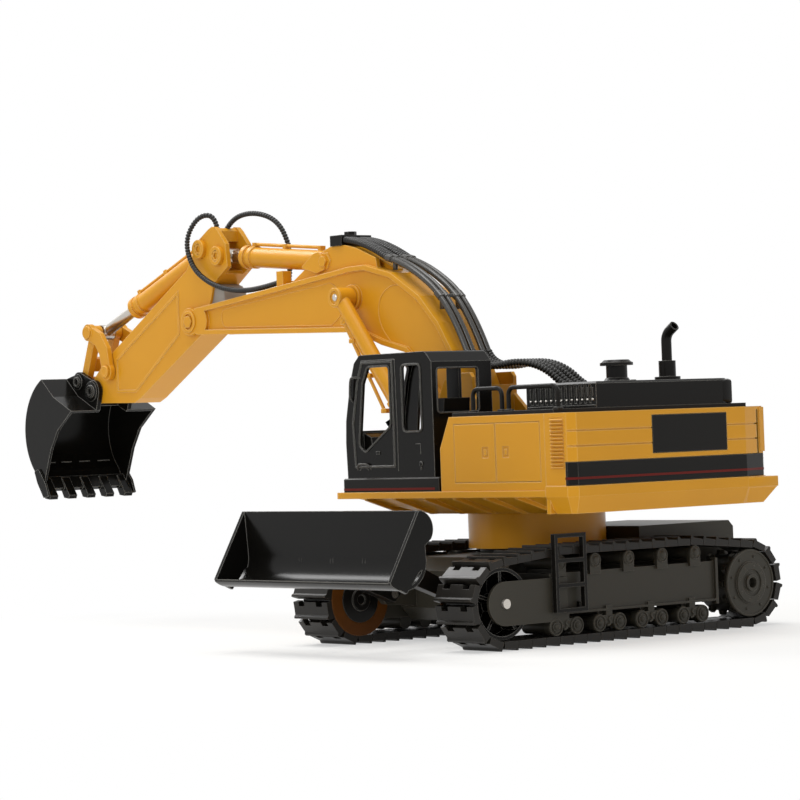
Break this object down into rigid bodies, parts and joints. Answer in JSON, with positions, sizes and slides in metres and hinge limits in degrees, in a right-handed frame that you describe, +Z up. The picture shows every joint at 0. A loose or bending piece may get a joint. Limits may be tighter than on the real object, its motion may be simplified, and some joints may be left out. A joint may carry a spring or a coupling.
{
  "type": "toy crawler excavator",
  "caption": "Toy crawler excavator with a dozer blade, a swinging house with cab, and a jointed boom, arm and toothed bucket.",
  "frame": {"origin": "on the floor under the swing axis", "axes": "+Z up; +X the way the house, boom and bucket point; +Y the house's left side, which is also the undercarriage's front with the blade"},
  "size_m": [0.6438, 0.3219, 0.2955],
  "materials": {
    "yellow_abs": "moulded ABS, satin gloss",
    "gloss_black_abs": "moulded ABS, polished",
    "satin_black_abs": "moulded ABS, satin",
    "charcoal_abs": "moulded ABS, matt",
    "track_pom": "moulded acetal, matt",
    "plated_steel": "nickel plated, bright",
    "hose_rubber": "ribbed hose",
    "grey_abs": "moulded ABS, matt",
    "circuit_board": "coated board",
    "battery_wrap": "shrink wrap"
  },
  "bodies": {
    "undercarriage": {"car_body": "charcoal_abs", "battery_box": "charcoal_abs", "battery_cover": "satin_black_abs", "battery_pack": "battery_wrap", "track_drive_gearboxes": "satin_black_abs", "left_track_frame": "charcoal_abs", "right_track_frame": "charcoal_abs", "left_track_chain": "track_pom", "right_track_chain": "track_pom", "left_step_ladder": "satin_black_abs", "right_step_ladder": "satin_black_abs", "idler_axle_screws": "plated_steel", "blade_pivot_pins": "plated_steel"},
    "sprocket_left": {"left_sprocket": "gloss_black_abs"},
    "sprocket_right": {"right_sprocket": "gloss_black_abs"},
    "idler_left": {"left_idler": "gloss_black_abs"},
    "idler_right": {"right_idler": "gloss_black_abs"},
    "blade": {"dozer_blade": "gloss_black_abs", "blade_push_arms": "satin_black_abs"},
    "house": {"swing_drum": "yellow_abs", "swing_motor": "grey_abs", "house_platform": "yellow_abs", "rear_counterweight": "yellow_abs", "rear_black_panels": "satin_black_abs", "engine_housing": "yellow_abs", "left_service_doors": "yellow_abs", "walkway_plate": "satin_black_abs", "engine_hood": "gloss_black_abs", "exhaust_stack": "satin_black_abs", "air_intake": "satin_black_abs", "handrails": "satin_black_abs", "cab_base": "satin_black_abs", "cab_shell": "gloss_black_abs", "cab_interior": "satin_black_abs", "right_tank_and_toolbox": "yellow_abs", "control_board": "circuit_board", "boom_bracket": "yellow_abs", "boom_foot_pin": "plated_steel", "base_hoses": "hose_rubber"},
    "boom_assembly": {"boom": "yellow_abs", "boom_pins": "yellow_abs", "boom_line_rails": "satin_black_abs", "hose_manifold": "satin_black_abs", "manifold_hoses": "hose_rubber", "boom_hose_clips": "satin_black_abs", "arm_hoses": "hose_rubber"},
    "boom_barrels": {"boom_cylinder_barrels": "yellow_abs"},
    "boom_rods": {"boom_cylinder_rods": "plated_steel"},
    "arm_barrel": {"arm_cylinder_barrel": "yellow_abs"},
    "arm_rod": {"arm_cylinder_rod": "plated_steel"},
    "arm_assembly": {"arm": "yellow_abs", "arm_root_gearbox": "grey_abs", "arm_pins": "yellow_abs", "arm_hose_block": "satin_black_abs"},
    "bucket_barrel": {"bucket_cylinder_barrel": "yellow_abs"},
    "bucket_rod": {"bucket_cylinder_rod": "plated_steel"},
    "rockers": {"rocker_arms": "yellow_abs"},
    "link": {"bucket_link": "yellow_abs"},
    "bucket_assembly": {"bucket": "gloss_black_abs", "bucket_pins": "gloss_black_abs"}
  },
  "joints": [
    {"name": "left_sprocket_spin", "type": "hinge", "parent": "undercarriage", "child": "sprocket_left", "pos_m": [-0.0675, -0.1035, 0.0276], "axis": [1, 0, 0], "continuous": true},
    {"name": "left_idler_spin", "type": "hinge", "parent": "undercarriage", "child": "idler_left", "pos_m": [-0.0675, 0.1035, 0.0276], "axis": [1, 0, 0], "continuous": true},
    {"name": "right_sprocket_spin", "type": "hinge", "parent": "undercarriage", "child": "sprocket_right", "pos_m": [0.0675, -0.1035, 0.0276], "axis": [1, 0, 0], "continuous": true},
    {"name": "right_idler_spin", "type": "hinge", "parent": "undercarriage", "child": "idler_right", "pos_m": [0.0675, 0.1035, 0.0276], "axis": [1, 0, 0], "continuous": true},
    {"name": "blade_lift", "type": "hinge", "parent": "undercarriage", "child": "blade", "pos_m": [0, 0.096, 0.031], "axis": [1, 0, 0], "range_deg": [-24, 8]},
    {"name": "house_swing", "type": "hinge", "parent": "undercarriage", "child": "house", "pos_m": [0, 0, 0.056], "axis": [0, 0, 1], "continuous": true},
    {"name": "boom_lift", "type": "hinge", "parent": "house", "child": "boom_assembly", "pos_m": [0.054, 0, 0.148], "axis": [0, -1, 0], "range_deg": [-15, 22], "deforming": ["base_hoses"]},
    {"name": "boom_barrel_tilt", "type": "hinge", "parent": "boom_assembly", "child": "boom_barrels", "pos_m": [0.157, 0, 0.22], "axis": [0, -1, 0], "range_deg": [-4.2, 2.9]},
    {"name": "boom_rod_slide", "type": "slide", "parent": "boom_barrels", "child": "boom_rods", "axis": [-0.6239, 0, -0.7815], "range_m": [-0.0094, 0.0135]},
    {"name": "arm_swing", "type": "hinge", "parent": "boom_assembly", "child": "arm_assembly", "pos_m": [0.339, 0, 0.213], "axis": [0, -1, 0], "range_deg": [-45, 8], "deforming": ["arm_hoses"]},
    {"name": "arm_barrel_tilt", "type": "hinge", "parent": "boom_assembly", "child": "arm_barrel", "pos_m": [0.188, 0, 0.246], "axis": [0, -1, 0], "range_deg": [-0.7, 3.2]},
    {"name": "arm_rod_slide", "type": "slide", "parent": "arm_barrel", "child": "arm_rod", "axis": [0.9953, 0, 0.097], "range_m": [-0.0076, 0.0409]},
    {"name": "bucket_curl", "type": "hinge", "parent": "arm_assembly", "child": "bucket_assembly", "pos_m": [0.4625, 0, 0.1678], "axis": [0, -1, 0], "range_deg": [-55, 30]},
    {"name": "rocker_turn", "type": "hinge", "parent": "arm_assembly", "child": "rockers", "pos_m": [0.443, 0, 0.1816], "axis": [0, -1, 0], "range_deg": [-30.6, 16.8]},
    {"name": "link_turn", "type": "hinge", "parent": "rockers", "child": "link", "pos_m": [0.465, 0, 0.2113], "axis": [0, -1, 0], "range_deg": [-7.2, 13.1]},
    {"name": "bucket_barrel_tilt", "type": "hinge", "parent": "arm_assembly", "child": "bucket_barrel", "pos_m": [0.3274, 0, 0.2636], "axis": [0, -1, 0], "range_deg": [-2.8, 1.6]},
    {"name": "bucket_rod_slide", "type": "slide", "parent": "bucket_barrel", "child": "bucket_rod", "axis": [0.9348, 0, -0.3553], "range_m": [-0.0103, 0.0185]}
  ],
  "couplings": [
    {"joint": "left_idler_spin", "follows": "left_sprocket_spin", "ratio": 1},
    {"joint": "right_idler_spin", "follows": "right_sprocket_spin", "ratio": 1},
    {"joint": "boom_barrel_tilt", "follows": "boom_lift", "ratio": -0.1822},
    {"joint": "boom_rod_slide", "follows": "boom_lift", "m_per_rad": 0.034063},
    {"joint": "arm_barrel_tilt", "follows": "arm_swing", "ratio": -0.0683},
    {"joint": "arm_rod_slide", "follows": "arm_swing", "m_per_rad": -0.051547},
    {"joint": "rocker_turn", "follows": "bucket_curl", "ratio": 0.5542},
    {"joint": "link_turn", "follows": "bucket_curl", "ratio": -0.2357},
    {"joint": "bucket_barrel_tilt", "follows": "bucket_curl", "ratio": 0.048},
    {"joint": "bucket_rod_slide", "follows": "bucket_curl", "m_per_rad": -0.01878}
  ]
}
